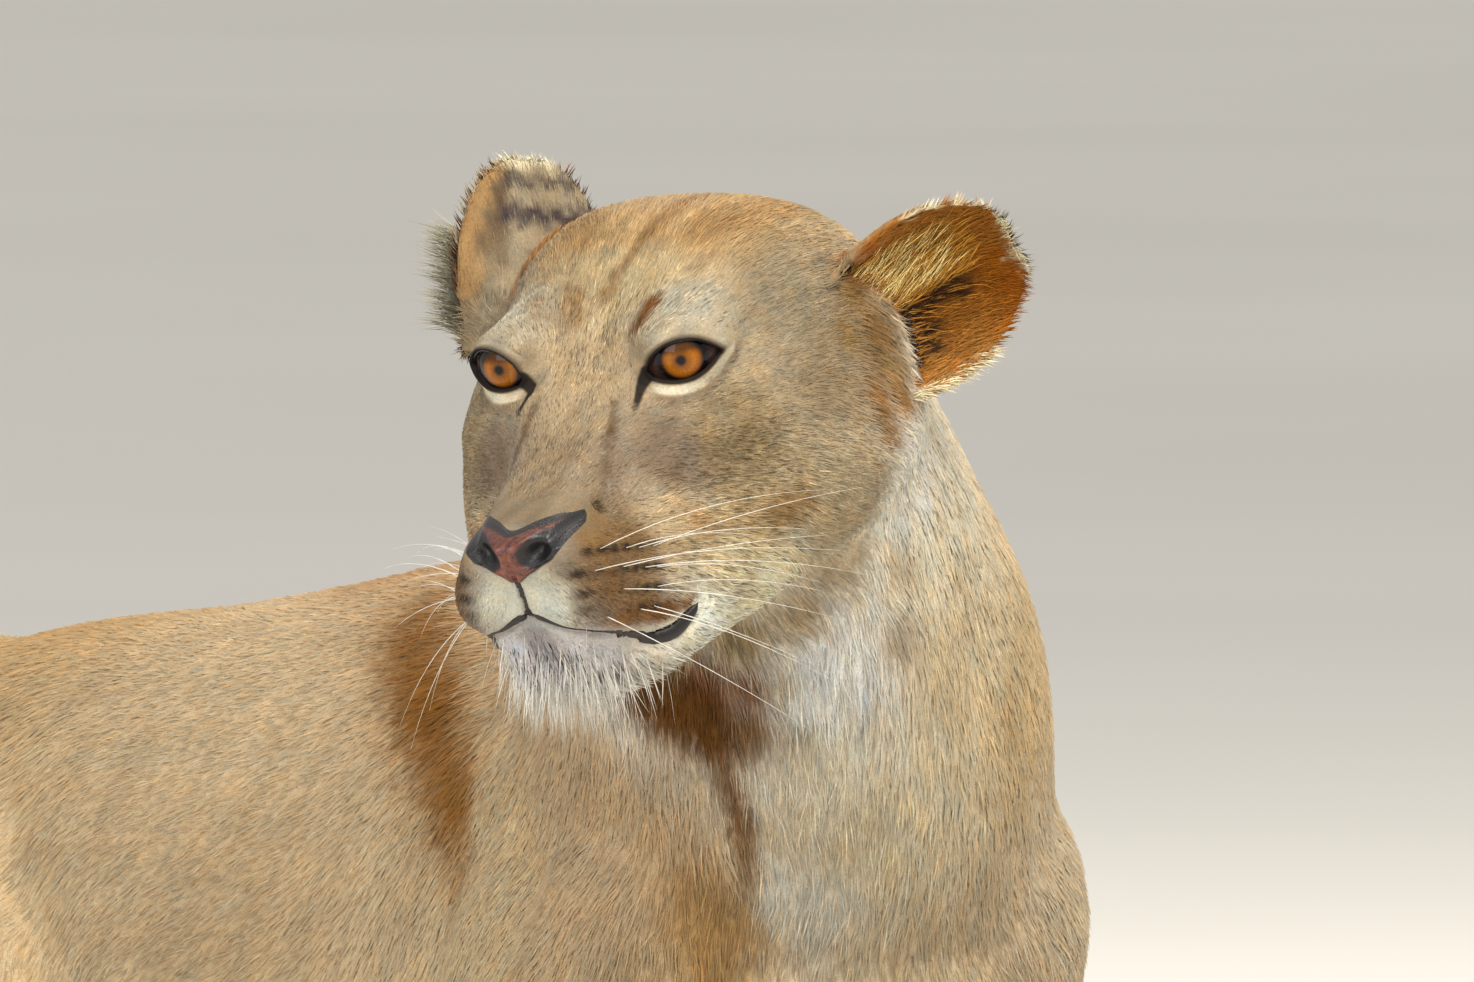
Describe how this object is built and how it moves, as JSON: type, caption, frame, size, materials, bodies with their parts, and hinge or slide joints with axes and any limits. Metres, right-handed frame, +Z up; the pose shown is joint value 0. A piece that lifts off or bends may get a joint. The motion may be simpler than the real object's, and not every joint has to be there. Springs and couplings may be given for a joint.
{
  "type": "lioness model",
  "caption": "Life-size lioness lying on her belly with forelegs stretched ahead, hind legs folded, tail curled on the floor and head turned to her right.",
  "frame": {"origin": "centre of the bounding box in plan, on the floor under the belly", "axes": "+Z up, -Y the way the chest faces, +X towards the animal's left side, metres"},
  "size_m": [0.7686, 1.6278, 0.6681],
  "materials": {
    "coat": "short tawny fur",
    "pale_coat": "pale chin and throat fur",
    "dark_coat": "dark tail tuft fur",
    "nose_leather": "damp pebbled leather",
    "eye": "glossy amber eye",
    "horn": "satin horn"
  },
  "bodies": {
    "root": {"head": "coat", "neck": "coat", "trunk_front": "coat", "trunk_middle": "coat", "trunk_rear": "coat", "tail_root": "coat", "tail_bend": "coat", "tail_middle": "coat", "tail_end": "coat", "tail_tuft": "dark_coat", "lower_jaw": "pale_coat", "nose": "nose_leather", "ear_left": "coat", "eye_left": "eye", "shoulder_left": "coat", "forearm_left": "coat", "forepaw_left": "coat", "thigh_left": "coat", "shank_left": "coat", "hindfoot_left": "coat", "hindpaw_left": "coat", "claw_fore_left_1": "horn", "claw_fore_left_2": "horn", "claw_fore_left_3": "horn", "claw_fore_left_4": "horn", "claw_hind_left_1": "horn", "claw_hind_left_2": "horn", "claw_hind_left_3": "horn", "claw_hind_left_4": "horn", "ear_right": "coat", "eye_right": "eye", "shoulder_right": "coat", "forearm_right": "coat", "forepaw_right": "coat", "thigh_right": "coat", "shank_right": "coat", "hindfoot_right": "coat", "hindpaw_right": "coat", "claw_fore_right_1": "horn", "claw_fore_right_2": "horn", "claw_fore_right_3": "horn", "claw_fore_right_4": "horn", "claw_hind_right_1": "horn", "claw_hind_right_2": "horn", "claw_hind_right_3": "horn", "claw_hind_right_4": "horn"}
  },
  "joints": []
}
